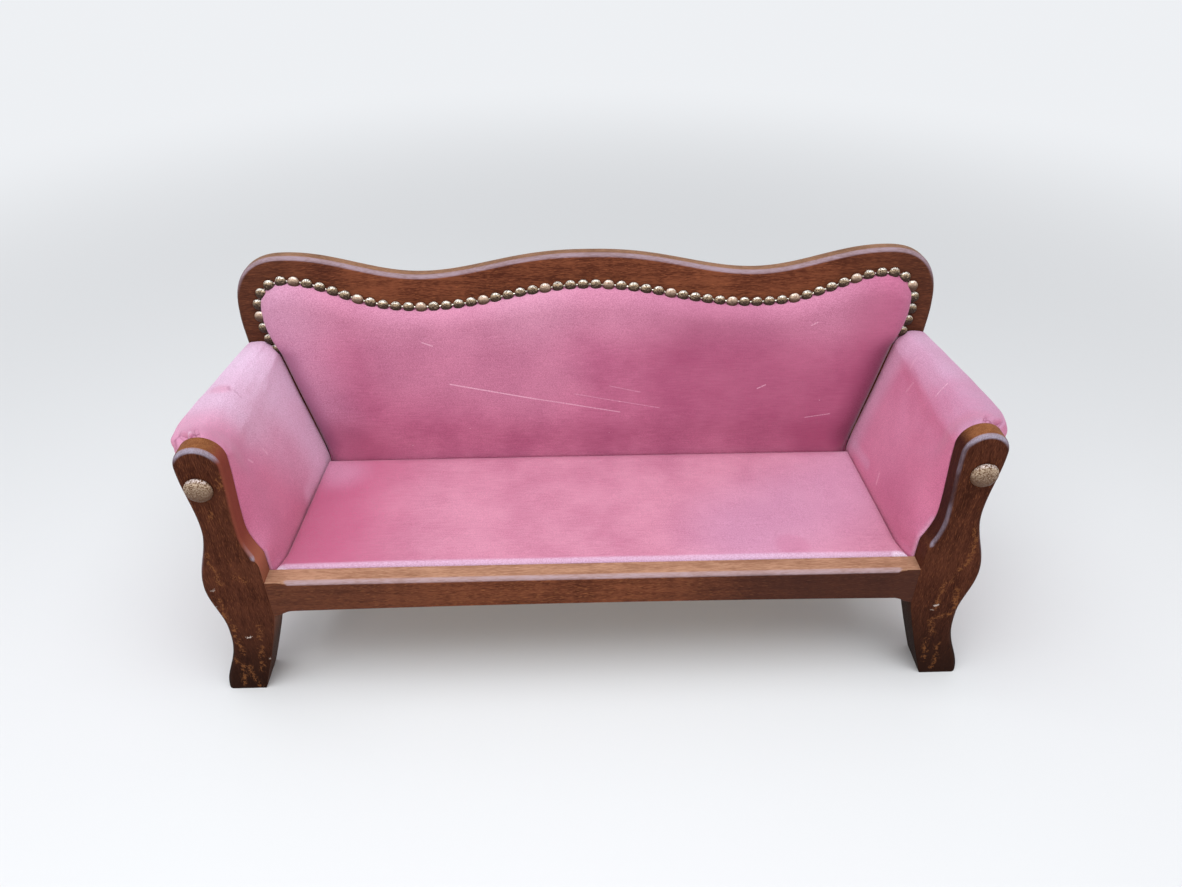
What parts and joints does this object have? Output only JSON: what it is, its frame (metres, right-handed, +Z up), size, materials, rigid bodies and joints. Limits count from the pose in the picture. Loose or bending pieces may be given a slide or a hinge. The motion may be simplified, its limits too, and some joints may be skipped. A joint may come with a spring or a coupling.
{
  "type": "sofa",
  "caption": "Small show-wood sofa with a wavy crest, curved arm stumps, velvet back, arms and drop-in seat, edged with a decorative nail strip.",
  "frame": {"origin": "centre of the footprint, on the floor", "axes": "+X to the right as seen from the front, +Y to the rear, +Z up; the front faces -Y"},
  "size_m": [0.733, 0.258, 0.3646],
  "materials": {
    "dark_wood": "dark brown stain under satin lacquer",
    "frame_wood": "bare sawn hardwood",
    "pale_wood": "bare plywood and dowel",
    "velvet": "short cut pile with a pale sheen",
    "wadding": "matted stuffing",
    "backing_cloth": "plain weave",
    "old_brass": "hammered, antiqued",
    "steel": "plain"
  },
  "bodies": {
    "frame": {"front_leg_left": "dark_wood", "front_leg_right": "dark_wood", "front_rail": "dark_wood", "side_rail_left": "frame_wood", "side_rail_right": "frame_wood", "back_leg_left": "dark_wood", "back_leg_right": "dark_wood", "back_rail": "frame_wood", "stay_rail": "frame_wood", "crest_board": "dark_wood", "arm_rail_left": "frame_wood", "arm_rail_right": "frame_wood", "seat_ledgers": "frame_wood", "cross_bearer": "frame_wood", "corner_blocks": "frame_wood", "block_screws": "steel", "rail_dowels": "pale_wood", "crest_dowels": "pale_wood", "back_panel": "pale_wood", "back_pad": "wadding", "back_cover": "velvet", "nail_strip": "old_brass", "strip_nails": "old_brass", "outside_back_cloth": "backing_cloth", "back_tacks": "steel", "arm_web_left": "pale_wood", "arm_web_right": "pale_wood", "arm_pad_left": "wadding", "arm_pad_right": "wadding", "arm_cover_left": "velvet", "arm_cover_right": "velvet", "outside_arm_left": "velvet", "outside_arm_right": "velvet", "dome_nails": "old_brass"},
    "seat": {"seat_board": "pale_wood", "seat_pad": "wadding", "seat_cover": "velvet", "seat_staples": "steel"}
  },
  "joints": [
    {"name": "seat_lift", "type": "slide", "parent": "frame", "child": "seat", "axis": [0, 0, 1], "range_m": [0, 0.15]}
  ]
}
